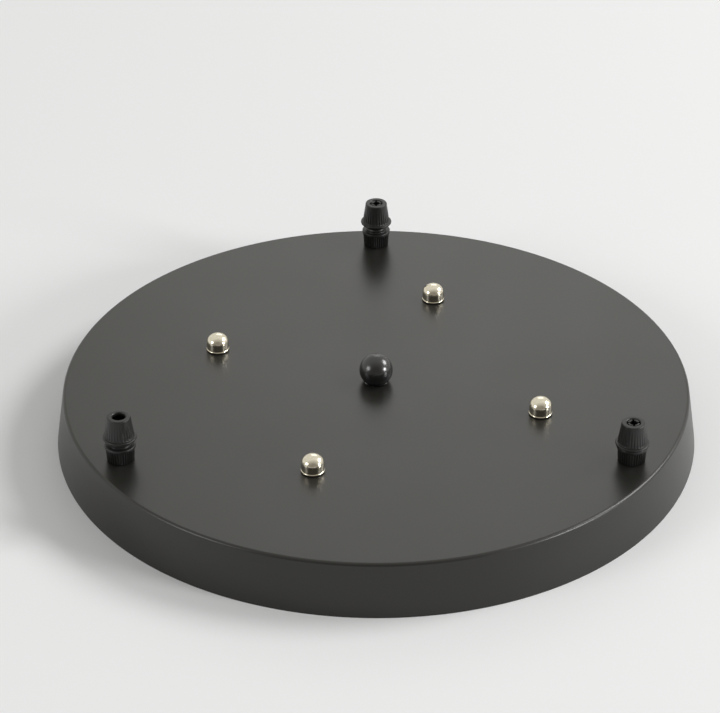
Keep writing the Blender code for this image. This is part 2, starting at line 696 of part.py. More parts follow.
clear_scene()
PARTS = new_collection("light_fixture_ceiling_canopy")
CUTTERS = new_collection("cutters")
build()
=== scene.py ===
"""Looks of the round ceiling canopy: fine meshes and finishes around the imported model.

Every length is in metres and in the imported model's frame: the origin is the centre of the open
rim's plane, +Z points out through the show face and +Y towards the back cord grip.  Each fine
piece is modelled from its foot up, on its own axis, and stands where its node's box is.
"""

import json
import math

import bmesh
import bpy
from mathutils import Matrix, Vector


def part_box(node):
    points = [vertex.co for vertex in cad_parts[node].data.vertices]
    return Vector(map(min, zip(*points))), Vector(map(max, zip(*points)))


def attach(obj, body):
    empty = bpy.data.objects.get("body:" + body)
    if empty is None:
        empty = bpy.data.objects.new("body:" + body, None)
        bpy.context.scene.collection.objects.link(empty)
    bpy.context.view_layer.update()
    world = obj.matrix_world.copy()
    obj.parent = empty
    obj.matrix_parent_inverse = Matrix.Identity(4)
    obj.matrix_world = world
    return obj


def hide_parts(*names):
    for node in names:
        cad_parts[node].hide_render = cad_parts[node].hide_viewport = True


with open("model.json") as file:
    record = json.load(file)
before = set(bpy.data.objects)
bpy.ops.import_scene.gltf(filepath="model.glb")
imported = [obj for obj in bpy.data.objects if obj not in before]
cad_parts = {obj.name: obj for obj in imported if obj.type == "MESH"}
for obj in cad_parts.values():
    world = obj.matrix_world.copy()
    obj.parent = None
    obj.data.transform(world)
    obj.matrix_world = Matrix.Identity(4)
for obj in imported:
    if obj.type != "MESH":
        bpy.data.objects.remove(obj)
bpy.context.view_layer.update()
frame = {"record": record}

RECORD = frame["record"]
BODY_OF = {node: body for body, nodes in RECORD["behaviour"]["bodies"].items() for node in nodes}
SLOT_OF = {row["node"]: row["material_slot"] for row in RECORD["subparts"]}
SIDES = ("back", "left", "right")

# Gaps and edges
CLEARANCE = 0.0003
THROUGH = 0.0020
TINY = 0.000001
SMALL_EDGE = 0.00015
FINE_BEVEL = 0.00008
STRIP_BEVEL = 0.00012
SHARP_ANGLE = 40.0
NORMAL_WEIGHT = 100

# Steps of round stretches, and stations along threads and along the cap's ribs
FILLET_STEPS = 4
CAP_FILLET_STEPS = 5
HEAD_FILLET_STEPS = 6
BEND_STEPS = 10
INNER_BEND_STEPS = 6
DOME_STEPS = 28
BEAD_STEPS = 10
BALL_STEPS = 44
RIVET_HEAD_STEPS = 8
RING_STEPS = 72
SLOT_END_STEPS = 24
STRIP_CORNER_STEPS = 16
JOGGLE_STEPS = 6
STATIONS_A_TURN = 8
CAP_STATION = 0.0004

# Pan
RIM_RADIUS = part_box("canopy_pan")[1].x
PAN_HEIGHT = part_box("canopy_pan")[1].z
WALL_FLARE = 0.0038
SHEET = 0.0010
BEND_RADIUS = 0.0016
FACE_RING_SHARE = 0.96
PAN_SEGMENTS = 288
HOLE_SEGMENTS = 64

# Cord grip: body
GRIP_SEGMENTS = 216
TAIL_RADIUS = 0.0048
TAIL_REACH = 0.0055
TAIL_PITCH = 0.0010
TAIL_THREAD_DEPTH = 0.0005
CORD_BORE_RADIUS = 0.0035
BARREL_STEP = 0.0014
BARREL_DRAFT = 0.00035
BODY_HEIGHT = 0.0082
COLLAR_LIP = 0.00045
COLLAR_THICKNESS = 0.0016
COLLAR_ROUND = 0.00045
NECK_WALL = 0.00095
NECK_HEIGHT = 0.0063
NECK_PITCH = 0.0015
NECK_THREAD_DEPTH = 0.00033
SOCKET_STEP = 0.00055
SOCKET_FLOOR = 0.0010
RIB_COUNT = 36
RIB_DEPTH = 0.0004

# Cord grip: cap
CAP_WALL = 0.0014
CAP_TAPER = 0.0014
CAP_LIP = 0.0010
CAP_LIP_THICKNESS = 0.0012
CAP_LIP_ROUND = 0.00054
CAP_LAND = 0.0015
CAP_CONE_LENGTH = 0.0035
CAP_EDGE = 0.0004
CAP_RIB_COUNT = 30
CAP_RIB_DEPTH = 0.0003
CAP_RIB_FADE = 0.0090

# Cord grip: collet and lock nut
JAW_BORE_RADIUS = 0.00175
JAW_WALL = 0.0010
JAW_TIP_LENGTH = 0.0012
JAW_TIP_ROUND = 0.00035
JAW_MOUTH_ROUND = 0.0003
JAW_RECESS = 0.0002
JAW_SLOT = 0.0009
COLLET_WALL = 0.00085
COLLET_LENGTH = 0.0054
COLLET_HOOP = 0.0015
LOCK_NUT_SIDES = 6
LOCK_NUT_WALL = 0.0019
LOCK_NUT_THICKNESS = 0.0030
NUT_CHAMFER = 0.0004
NUT_CHAMFER_REACH = 0.0008

# Screws, domed nuts and ball
FINE_SEGMENTS = 96
SCREW_RADIUS = 0.0020
SCREW_PITCH = 0.0007
SCREW_THREAD_DEPTH = 0.000385
SCREW_SEGMENTS = 32
HEAD_RADIUS = 0.0038
HEAD_HEIGHT = 0.0024
HEAD_EDGE = 0.0009
RECESS_WIDTH = 0.0009
RECESS_LENGTH = 0.0042
RECESS_DEPTH = 0.0012
END_CHAMFER = 0.0004
NUT_NUMBERS = (1, 2, 3, 4)
CAP_NUT_WALL = 0.00295
CAP_NUT_HEIGHT = 0.0081
CAP_NUT_HOLE = 0.0040
CROWN_RISE = 0.0042
BEAD_LIP = 0.0002
BEAD_HEIGHT = 0.0009
BEAD_TOP_ANGLE = 80.0
BALL_RADIUS = 0.0078
BALL_FLAT_DROP = 0.006446
BALL_HOLE = 0.0058
CENTRE_HOLE_RADIUS = 0.0055

# Mounting cross
STRIP_WIDTH = 0.0200
STRIP_THICKNESS = 0.0015
STRIP_END = 0.0095
STRIP_CORNER = 0.0060
SCREW_CIRCLE_RADIUS = 0.0806
SCREW_ANGLE = 69.6
JOGGLE_INSET = 0.0225
JOGGLE_RUN = 0.0040
JOGGLE_BEND = 0.0012
SLOT_WIDTH = 0.0056
SLOT_LENGTH = 0.0220
SLOT_CENTRE = 0.0370
EARTH_INSET = 0.0112
RIVET_RADIUS = 0.0025
RIVET_HEAD_LIP = 0.0018
RIVET_HEAD_HEIGHT = 0.0011

# Worked out
TAIL_LENGTH = SHEET + CLEARANCE + LOCK_NUT_THICKNESS + TAIL_REACH
BARREL_BASE_RADIUS = TAIL_RADIUS + BARREL_STEP
BARREL_TOP_RADIUS = BARREL_BASE_RADIUS + BARREL_DRAFT
COLLAR_RADIUS = BARREL_TOP_RADIUS + COLLAR_LIP
SOCKET_RADIUS = CORD_BORE_RADIUS + SOCKET_STEP
NECK_RADIUS = SOCKET_RADIUS + NECK_WALL
CAP_BORE_RADIUS = NECK_RADIUS + CLEARANCE
CAP_BASE_RADIUS = CAP_BORE_RADIUS + CAP_WALL
CAP_TOP_RADIUS = CAP_BASE_RADIUS - CAP_TAPER
CAP_HEIGHT = NECK_HEIGHT + CAP_CONE_LENGTH + CAP_LAND
JAW_TIP_RADIUS = JAW_BORE_RADIUS + JAW_WALL
CAP_HOLE_RADIUS = JAW_TIP_RADIUS + CLEARANCE
COLLET_RADIUS = SOCKET_RADIUS - CLEARANCE
LOCK_NUT_BORE = TAIL_RADIUS + CLEARANCE
LOCK_NUT_FLAT = LOCK_NUT_BORE + LOCK_NUT_WALL
SCREW_HOLE_RADIUS = SCREW_RADIUS + CLEARANCE
CAP_NUT_RADIUS = SCREW_HOLE_RADIUS + CAP_NUT_WALL
STRIP_REACH = SCREW_CIRCLE_RADIUS + STRIP_END
JOGGLE_END = SCREW_CIRCLE_RADIUS - JOGGLE_INSET
JOGGLE_START = JOGGLE_END - JOGGLE_RUN
EARTH_HOLE_X = SCREW_CIRCLE_RADIUS - EARTH_INSET


def arc(centre, radius, start, end, steps):
    """Points of an arc in a plane, with angles in degrees from its first axis."""
    points = []
    for step in range(steps + 1):
        angle = math.radians(start + (end - start) * step / steps)
        points.append((centre[0] + radius * math.cos(angle), centre[1] + radius * math.sin(angle)))
    return points


def rounded(corners, steps=FILLET_STEPS):
    """A line through (across, height, fillet) corners, each one turned by its fillet."""
    points = []
    for index, (radius, height, fillet) in enumerate(corners):
        if fillet == 0.0:
            points.append((radius, height))
            continue
        corner = Vector((radius, height))
        before = Vector(corners[index - 1][:2])
        after = Vector(corners[(index + 1) % len(corners)][:2])
        start = corner + (before - corner).normalized() * fillet
        end = corner + (after - corner).normalized() * fillet
        for step in range(steps + 1):
            share = step / steps
            point = start.lerp(corner, share).lerp(corner.lerp(end, share), share)
            points.append((point.x, point.y))
    return points


def stations(points, longest, low, high):
    """The same line with extra points between two heights, at most `longest` apart."""
    result = [points[0]]
    for first, second in zip(points, points[1:]):
        middle = (first[1] + second[1]) / 2
        length = math.dist(first, second)
        count = math.ceil(length / longest) if low < middle < high else 1
        for step in range(1, count + 1):
            share = step / count
            result.append(tuple(a + (b - a) * share for a, b in zip(first, second)))
    return result


def new_mesh(name, vertices, faces):
    """A mesh whose faces all look outwards."""
    mesh = bpy.data.meshes.new(name)
    mesh.from_pydata(vertices, [], faces)
    work = bmesh.new()
    work.from_mesh(mesh)
    bmesh.ops.recalc_face_normals(work, faces=work.faces)
    work.to_mesh(mesh)
    work.free()
    return mesh


def lathe(name, profile, segments, closed=False, relief=None):
    """Revolve (radius, height) points; relief(radius, height, angle) gives the worked radius."""
    vertices = []
    rings = []
    for radius, height in profile:
        if radius < TINY:
            rings.append([len(vertices)])
            vertices.append((0.0, 0.0, height))
            continue
        rings.append(range(len(vertices), len(vertices) + segments))
        for index in range(segments):
            angle = math.tau * index / segments
            reach = relief(radius, height, angle) if relief else radius
            vertices.append((reach * math.cos(angle), reach * math.sin(angle), height))
    pairs = list(zip(rings, rings[1:]))
    if closed:
        pairs.append((rings[-1], rings[0]))
    faces = []
    for first, second in pairs:
        for index in range(segments):
            after = (index + 1) % segments
            corners = (
                first[index % len(first)], first[after % len(first)],
                second[after % len(second)], second[index % len(second)],
            )
            faces.append(tuple(dict.fromkeys(corners)))
    return new_mesh(name, vertices, faces)


def thread(crest, depth, pitch, low, high):
    """A right-hand thread cut into the radius `crest` between two heights."""
    def relief(radius, height, angle):
        if abs(radius - crest) > TINY or not low < height < high:
            return radius
        turn = (height / pitch - angle / math.tau) % 1.0
        fade = min(1.0, (height - low) / pitch, (high - height) / pitch)
        return radius - depth * fade * (0.5 - 0.5 * math.cos(math.tau * turn))
    return relief


def ribs(count, depth, inner, low, high, fade):
    """Upright grooves outside the radius `inner`, fading out over `fade` below `high`."""
    def relief(radius, height, angle):
        if radius < inner or not low < height < high:
            return radius
        groove = 0.5 - 0.5 * math.cos(count * angle)
        return radius - depth * groove * min(1.0, (high - height) / fade)
    return relief


def all_reliefs(*reliefs):
    """One relief that works the radius by each of the given ones in turn."""
    def relief(radius, height, angle):
        for one in reliefs:
            radius = one(radius, height, angle)
        return radius
    return relief


def finished(mesh, modifiers):
    """A mesh or curve as a mesh after modifiers, each given as (type, {setting: value})."""
    draft = bpy.data.objects.new("draft", mesh)
    bpy.context.scene.collection.objects.link(draft)
    for kind, settings in modifiers:
        modifier = draft.modifiers.new(kind.lower(), kind)
        for setting, value in settings.items():
            setattr(modifier, setting, value)
    bpy.context.view_layer.update()
    evaluated = draft.evaluated_get(bpy.context.evaluated_depsgraph_get())
    result = bpy.data.meshes.new_from_object(evaluated)
    result.name = mesh.name
    bpy.data.objects.remove(draft)
    return result


def cut(mesh, tool_mesh, operation="DIFFERENCE"):
    """The mesh after one exact boolean with another mesh."""
    tool = bpy.data.objects.new("tool", tool_mesh)
    bpy.context.scene.collection.objects.link(tool)
    settings = {"operation": operation, "solver": "EXACT", "object": tool}
    result = finished(mesh, [("BOOLEAN", settings)])
    bpy.data.objects.remove(tool)
    return result


def bevelled(mesh, width, degrees):
    """The mesh with a small round on each edge that turns by more than `degrees`."""
    settings = {
        "width": width, "segments": 2, "limit_method": "ANGLE",
        "angle_limit": math.radians(degrees),
    }
    return finished(mesh, [("BEVEL", settings)])


def cylinders(places, radius, bottom, top, segments):
    """Upright cylinders at (x, y) places, as one mesh."""
    work = bmesh.new()
    for x, y in places:
        bmesh.ops.create_cone(
            work, cap_ends=True, segments=segments, radius1=radius, radius2=radius,
            depth=top - bottom, matrix=Matrix.Translation((x, y, (top + bottom) / 2)))
    mesh = bpy.data.meshes.new("cylinders")
    work.to_mesh(mesh)
    work.free()
    return mesh


def crossed_bars(mesh, length, width, bottom, top):
    """Cut two upright bars that cross on the axis out of a mesh."""
    for across in (0.0, math.pi / 2):
        work = bmesh.new()
        size = Matrix.Diagonal((length, width, top - bottom, 1.0))
        lift = Matrix.Translation((0.0, 0.0, (top + bottom) / 2))
        turn = Matrix.Rotation(across, 4, "Z")
        bmesh.ops.create_cube(work, size=1.0, matrix=turn @ lift @ size)
        bar = bpy.data.meshes.new("bar")
        work.to_mesh(bar)
        work.free()
        mesh = cut(mesh, bar)
    return mesh


def prism(outlines, depth, matrix):
    """A flat plate from closed outlines, the inner ones being holes, moved by `matrix`."""
    curve = bpy.data.curves.new("outline", "CURVE")
    curve.dimensions = "2D"
    curve.fill_mode = "BOTH"
    curve.extrude = depth / 2
    for outline in outlines:
        spline = curve.splines.new("POLY")
        spline.points.add(len(outline) - 1)
        for point, (x, y) in zip(spline.points, outline):
            point.co = (x, y, 0.0, 1.0)
        spline.use_cyclic_u = True
    mesh = finished(curve, [])
    work = bmesh.new()
    work.from_mesh(mesh)
    bmesh.ops.remove_doubles(work, verts=work.verts, dist=TINY)
    bmesh.ops.recalc_face_normals(work, faces=work.faces)
    bmesh.ops.transform(work, matrix=matrix, verts=work.verts)
    work.to_mesh(mesh)
    work.free()
    return mesh


def pan_mesh():
    """Flat face, small bend, flared wall and level rim, with holes for what it carries."""
    flare = math.atan2(WALL_FLARE, PAN_HEIGHT)
    wall_shift = SHEET / math.cos(flare)
    face_radius = RIM_RADIUS - WALL_FLARE
    bend_reach = BEND_RADIUS * math.tan((math.pi / 2 - flare) / 2)
    centre = (face_radius - bend_reach, PAN_HEIGHT - BEND_RADIUS)
    wall_angle = math.degrees(flare)
    inner = RIM_RADIUS - wall_shift
    ring = face_radius * FACE_RING_SHARE
    profile = [(0.0, PAN_HEIGHT), (ring, PAN_HEIGHT)]
    profile += arc(centre, BEND_RADIUS, 90.0, wall_angle, BEND_STEPS)
    profile += rounded([
        (face_radius, PAN_HEIGHT, 0.0), (RIM_RADIUS, 0.0, SMALL_EDGE),
        (inner, 0.0, SMALL_EDGE), (face_radius - wall_shift, PAN_HEIGHT, 0.0)])[1:-1]
    profile += arc(centre, BEND_RADIUS - SHEET, wall_angle, 90.0, INNER_BEND_STEPS)
    profile += [(ring, PAN_HEIGHT - SHEET), (0.0, PAN_HEIGHT - SHEET)]
    pan = lathe("pan", profile, PAN_SEGMENTS)
    grips = [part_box(f"grip_body_{side}") for side in SIDES]
    screws = [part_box(f"cap_nut_{number}") for number in NUT_NUMBERS]
    holes = (
        (grips, TAIL_RADIUS + CLEARANCE),
        (screws, SCREW_HOLE_RADIUS),
        ([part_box("centre_ball")], CENTRE_HOLE_RADIUS),
    )
    for boxes, radius in holes:
        places = [((low + high) / 2)[:2] for low, high in boxes]
        drill = cylinders(places, radius, PAN_HEIGHT - SHEET - THROUGH, PAN_HEIGHT + THROUGH,
                          HOLE_SEGMENTS)
        pan = cut(pan, drill)
    return pan


def grip_body_mesh():
    """Threaded tail, ribbed barrel, rounded collar and threaded neck on one cord bore."""
    foot = TAIL_LENGTH + CLEARANCE
    face = TAIL_LENGTH
    collar_top = face + BODY_HEIGHT
    collar_under = collar_top - COLLAR_THICKNESS
    neck_top = collar_top + NECK_HEIGHT
    corners = [
        (NECK_RADIUS, neck_top, SMALL_EDGE),
        (NECK_RADIUS, collar_top, SMALL_EDGE),
        (COLLAR_RADIUS, collar_top, COLLAR_ROUND),
        (COLLAR_RADIUS, collar_under, COLLAR_ROUND),
        (BARREL_TOP_RADIUS, collar_under, SMALL_EDGE / 2),
        (BARREL_BASE_RADIUS, foot, SMALL_EDGE),
        (TAIL_RADIUS, foot, 0.0),
        (TAIL_RADIUS, END_CHAMFER, 0.0),
        (TAIL_RADIUS - END_CHAMFER, 0.0, 0.0),
        (CORD_BORE_RADIUS, 0.0, SMALL_EDGE),
        (CORD_BORE_RADIUS, collar_top + SOCKET_FLOOR, SMALL_EDGE),
        (SOCKET_RADIUS, collar_top + SOCKET_FLOOR, 0.0),
        (SOCKET_RADIUS, neck_top, SMALL_EDGE),
    ]
    profile = stations(rounded(corners), TAIL_PITCH / STATIONS_A_TURN, 0.0, neck_top)
    relief = all_reliefs(
        thread(TAIL_RADIUS, TAIL_THREAD_DEPTH, TAIL_PITCH, END_CHAMFER, face),
        thread(NECK_RADIUS, NECK_THREAD_DEPTH, NECK_PITCH, collar_top, neck_top),
        ribs(RIB_COUNT, RIB_DEPTH, BARREL_BASE_RADIUS - SMALL_EDGE, foot - TINY, collar_under,
             SMALL_EDGE),
    )
    return lathe("grip_body", profile, GRIP_SEGMENTS, closed=True, relief=relief)


def grip_cap_mesh():
    """Tapered cap with a rounded lip, ribs that fade upwards and an inner cone."""
    cone_foot = CAP_HEIGHT - CAP_LAND
    lip_radius = CAP_BASE_RADIUS + CAP_LIP
    corners = [
        (CAP_HOLE_RADIUS + CAP_EDGE, CAP_HEIGHT, SMALL_EDGE / 2),
        (CAP_TOP_RADIUS, CAP_HEIGHT, CAP_EDGE),
        (CAP_BASE_RADIUS, CAP_LIP_THICKNESS, SMALL_EDGE),
        (lip_radius, CAP_LIP_THICKNESS, CAP_LIP_ROUND),
        (lip_radius, 0.0, CAP_LIP_ROUND),
        (CAP_BORE_RADIUS, 0.0, SMALL_EDGE),
        (CAP_BORE_RADIUS, NECK_HEIGHT, 0.0),
        (CAP_HOLE_RADIUS, cone_foot, 0.0),
        (CAP_HOLE_RADIUS, CAP_HEIGHT - CAP_EDGE, SMALL_EDGE / 2),
    ]
    profile = stations(rounded(corners, CAP_FILLET_STEPS), CAP_STATION, 0.0, CAP_HEIGHT)
    rib_foot = CAP_LIP_THICKNESS + SMALL_EDGE
    rib_top = CAP_HEIGHT - CAP_EDGE * 2
    relief = ribs(CAP_RIB_COUNT, CAP_RIB_DEPTH, CAP_TOP_RADIUS, rib_foot, rib_top,
                  CAP_RIB_FADE)
    return lathe("grip_cap", profile, GRIP_SEGMENTS, closed=True, relief=relief)


def collet_mesh():
    """Slotted sleeve with four jaws, from its foot up."""
    tip = COLLET_LENGTH
    shoulder = tip + JAW_RECESS - CAP_LAND
    slope = (CAP_BORE_RADIUS - CAP_HOLE_RADIUS) / CAP_CONE_LENGTH
    flare_foot = shoulder - (COLLET_RADIUS - JAW_TIP_RADIUS) / slope
    inner_radius = COLLET_RADIUS - COLLET_WALL
    corners = [
        (JAW_TIP_RADIUS, tip, JAW_TIP_ROUND),
        (JAW_TIP_RADIUS, shoulder, SMALL_EDGE),
        (COLLET_RADIUS, flare_foot, SMALL_EDGE),
        (COLLET_RADIUS, 0.0, SMALL_EDGE),
        (inner_radius, 0.0, SMALL_EDGE),
        (inner_radius, flare_foot - COLLET_WALL / 2, 0.0),
        (JAW_BORE_RADIUS, tip - JAW_TIP_LENGTH, 0.0),
        (JAW_BORE_RADIUS, tip, JAW_MOUTH_ROUND),
    ]
    sleeve = lathe("collet", rounded(corners), FINE_SEGMENTS, closed=True)
    slotted = crossed_bars(sleeve, COLLET_RADIUS * 3, JAW_SLOT, COLLET_HOOP, tip + THROUGH)
    return bevelled(slotted, FINE_BEVEL, degrees=50.0)


def lock_nut_mesh():
    """Hexagon nut with both ends chamfered."""
    corner = LOCK_NUT_FLAT / math.cos(math.pi / LOCK_NUT_SIDES)
    chamfer_radius = corner - NUT_CHAMFER_REACH
    profile = [
        (0.0, LOCK_NUT_THICKNESS), (chamfer_radius, LOCK_NUT_THICKNESS),
        (corner, LOCK_NUT_THICKNESS - NUT_CHAMFER), (corner, NUT_CHAMFER),
        (chamfer_radius, 0.0), (0.0, 0.0),
    ]
    drum = lathe("lock_nut", profile, FINE_SEGMENTS)
    axis = [(0.0, 0.0)]
    top = LOCK_NUT_THICKNESS + THROUGH
    hexagon = cylinders(axis, corner, -THROUGH, top, LOCK_NUT_SIDES)
    bore = cylinders(axis, LOCK_NUT_BORE, -THROUGH, top, FINE_SEGMENTS)
    nut = cut(cut(drum, hexagon, "INTERSECT"), bore)
    return bevelled(nut, FINE_BEVEL, degrees=25.0)


def cap_nut_mesh():
    """Round domed nut with a bead at its foot and a blind hole."""
    crown = CAP_NUT_HEIGHT - CROWN_RISE
    share = CROWN_RISE / CAP_NUT_RADIUS
    dome = arc((0.0, 0.0), CAP_NUT_RADIUS, 90.0, 0.0, DOME_STEPS)[1:]
    bead_round = BEAD_HEIGHT / 2
    bead_centre = (CAP_NUT_RADIUS + BEAD_LIP - bead_round, bead_round)
    profile = [(0.0, CAP_NUT_HEIGHT)]
    profile += [(radius, crown + height * share) for radius, height in dome]
    profile.append((CAP_NUT_RADIUS, BEAD_HEIGHT + SMALL_EDGE))
    profile += arc(bead_centre, bead_round, BEAD_TOP_ANGLE, -90.0, BEAD_STEPS)
    profile += rounded([
        (CAP_NUT_RADIUS, 0.0, 0.0), (SCREW_HOLE_RADIUS, 0.0, SMALL_EDGE),
        (SCREW_HOLE_RADIUS, CAP_NUT_HOLE, 0.0), (0.0, CAP_NUT_HOLE, 0.0)])[1:]
    return lathe("cap_nut", profile, FINE_SEGMENTS)


def screw_mesh(name, length):
    """Cross-recessed pan-head screw, head down, threaded from its bearing face to its end."""
    end = HEAD_HEIGHT + length
    corners = [
        (0.0, end, 0.0),
        (SCREW_RADIUS - END_CHAMFER, end, 0.0),
        (SCREW_RADIUS, end - END_CHAMFER, 0.0),
        (SCREW_RADIUS, HEAD_HEIGHT, 0.0),
        (HEAD_RADIUS, HEAD_HEIGHT, SMALL_EDGE),
        (HEAD_RADIUS, 0.0, HEAD_EDGE),
        (0.0, 0.0, 0.0),
    ]
    line = rounded(corners, HEAD_FILLET_STEPS)
    profile = stations(line, SCREW_PITCH / STATIONS_A_TURN, HEAD_HEIGHT, end - END_CHAMFER)
    relief = thread(SCREW_RADIUS, SCREW_THREAD_DEPTH, SCREW_PITCH, HEAD_HEIGHT, end)
    screw = lathe(name, profile, SCREW_SEGMENTS, relief=relief)
    return crossed_bars(screw, RECESS_LENGTH, RECESS_WIDTH, -THROUGH, RECESS_DEPTH)


def washer_mesh(name, outer, inner, thickness):
    """Flat ring with its edges broken."""
    corners = [
        (outer, thickness, SMALL_EDGE), (outer, 0.0, SMALL_EDGE),
        (inner, 0.0, SMALL_EDGE), (inner, thickness, SMALL_EDGE),
    ]
    return lathe(name, rounded(corners), FINE_SEGMENTS, closed=True)


def ball_mesh():
    """Ball with a flat foot and a blind hole for its screw."""
    foot_angle = -math.degrees(math.asin(BALL_FLAT_DROP / BALL_RADIUS))
    profile = [(0.0, BALL_FLAT_DROP + BALL_RADIUS)]
    profile += arc((0.0, BALL_FLAT_DROP), BALL_RADIUS, 90.0, foot_angle, BALL_STEPS)[1:]
    profile += [(SCREW_HOLE_RADIUS, 0.0), (SCREW_HOLE_RADIUS, BALL_HOLE), (0.0, BALL_HOLE)]
    return lathe("ball", profile, FINE_SEGMENTS)


def ring_outline(radius, x=0.0):
    """A full circle as a closed outline, its centre at (x, 0)."""
    last = 360.0 - 360.0 / RING_STEPS
    return [(px + x, py) for px, py in arc((0.0, 0.0), radius, 0.0, last, RING_STEPS - 1)]


def slot_outline(x):
    """A slot along x with round ends, its centre at (x, 0)."""
    reach = (SLOT_LENGTH - SLOT_WIDTH) / 2
    right = arc((reach, 0.0), SLOT_WIDTH / 2, -90.0, 90.0, SLOT_END_STEPS)
    return [(px + x, py) for px, py in right + [(-px, -py) for px, py in right]]


def strip_mesh(name, rise, has_earth_hole):
    """A strip with raised arms, bent in its side view and cut to its plan."""
    corner_x = STRIP_REACH - STRIP_CORNER
    corner_y = STRIP_WIDTH / 2 - STRIP_CORNER
    plan = []
    for start, x_side, y_side in ((0.0, 1, 1), (90.0, -1, 1), (180.0, -1, -1), (270.0, 1, -1)):
        centre = (x_side * corner_x, y_side * corner_y)
        plan += arc(centre, STRIP_CORNER, start, start + 90.0, STRIP_CORNER_STEPS)
    outlines = [plan, ring_outline(RIVET_RADIUS + CLEARANCE)]
    for side in (-1, 1):
        outlines.append(slot_outline(side * SLOT_CENTRE))
        outlines.append(ring_outline(SCREW_HOLE_RADIUS, side * SCREW_CIRCLE_RADIUS))
    if has_earth_hole:
        outlines.append(ring_outline(SCREW_HOLE_RADIUS, EARTH_HOLE_X))
    end = STRIP_REACH + THROUGH
    side_view = []
    for offset, bends in ((0.0, 1), (STRIP_THICKNESS, -1)):
        half = rounded([
            (0.0, offset, 0.0), (JOGGLE_START, offset, JOGGLE_BEND),
            (JOGGLE_END, rise + offset, JOGGLE_BEND), (end, rise + offset, 0.0)],
            JOGGLE_STEPS)[1:]
        line = [(-x, z) for x, z in reversed(half)] + half
        side_view += line[::bends]
    stand = Matrix.Rotation(math.pi / 2, 4, "X")
    flat = prism(outlines, (rise + STRIP_THICKNESS + THROUGH) * 2, Matrix.Identity(4))
    bent = prism([side_view], STRIP_WIDTH + THROUGH, stand)
    strip = cut(flat, bent, "INTERSECT")
    strip.name = name
    return bevelled(strip, STRIP_BEVEL, degrees=60.0)


def countersunk(mesh):
    """Cut the cone for the rivet's flush head into the underside of the lower strip."""
    narrow = RIVET_RADIUS + CLEARANCE
    wide = narrow + RIVET_HEAD_LIP
    profile = [
        (0.0, RIVET_HEAD_HEIGHT), (narrow, RIVET_HEAD_HEIGHT), (wide, 0.0),
        (wide, -THROUGH), (0.0, -THROUGH),
    ]
    return cut(mesh, lathe("countersink", profile, HOLE_SEGMENTS))


def rivet_mesh():
    """Solid rivet: flush cone below, low button head above."""
    low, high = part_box("cross_rivet")
    height = high.z - low.z
    head = RIVET_RADIUS + RIVET_HEAD_LIP
    seat = height - RIVET_HEAD_HEIGHT
    profile = [(0.0, height)]
    edge = (head - RIVET_HEAD_HEIGHT, seat)
    profile += arc(edge, RIVET_HEAD_HEIGHT, 90.0, 0.0, RIVET_HEAD_STEPS)
    profile += [(RIVET_RADIUS, seat), (RIVET_RADIUS, RIVET_HEAD_HEIGHT), (head, 0.0), (0.0, 0.0)]
    return lathe("rivet", profile, HOLE_SEGMENTS)


# Octaves of the noise in a finish
PATCH_DETAIL = 4.0
GRAIN_DETAIL = 3.0


def surface(name, color, roughness, metallic=0.0, mottle=0.12, patch=0.02, grain=0.0006,
            relief=0.00001, spread=0.06, ior=1.5):
    """A finish whose colour and roughness wander a little over patches, with a fine grain."""
    material = bpy.data.materials.new(name)
    material.use_nodes = True
    nodes = material.node_tree.nodes
    links = material.node_tree.links
    shader = nodes["Principled BSDF"]
    shader.inputs["Metallic"].default_value = metallic
    shader.inputs["IOR"].default_value = ior
    coordinate = nodes.new("ShaderNodeTexCoord")
    patches = nodes.new("ShaderNodeTexNoise")
    patches.inputs["Scale"].default_value = 1.0 / patch
    patches.inputs["Detail"].default_value = PATCH_DETAIL
    links.new(coordinate.outputs["Object"], patches.inputs["Vector"])
    tint = nodes.new("ShaderNodeMix")
    tint.data_type = "RGBA"
    tint.inputs["A"].default_value = (*(value * (1.0 - mottle) for value in color), 1.0)
    tint.inputs["B"].default_value = (*(value * (1.0 + mottle) for value in color), 1.0)
    links.new(patches.outputs["Fac"], tint.inputs["Factor"])
    links.new(tint.outputs["Result"], shader.inputs["Base Color"])
    gloss = nodes.new("ShaderNodeMapRange")
    gloss.inputs["To Min"].default_value = roughness - spread / 2
    gloss.inputs["To Max"].default_value = roughness + spread / 2
    links.new(patches.outputs["Fac"], gloss.inputs["Value"])
    links.new(gloss.outputs["Result"], shader.inputs["Roughness"])
    grains = nodes.new("ShaderNodeTexNoise")
    grains.inputs["Scale"].default_value = 1.0 / grain
    grains.inputs["Detail"].default_value = GRAIN_DETAIL
    links.new(coordinate.outputs["Object"], grains.inputs["Vector"])
    bump = nodes.new("ShaderNodeBump")
    bump.inputs["Distance"].default_value = relief
    links.new(grains.outputs["Fac"], bump.inputs["Height"])
    links.new(bump.outputs["Normal"], shader.inputs["Normal"])
    return material


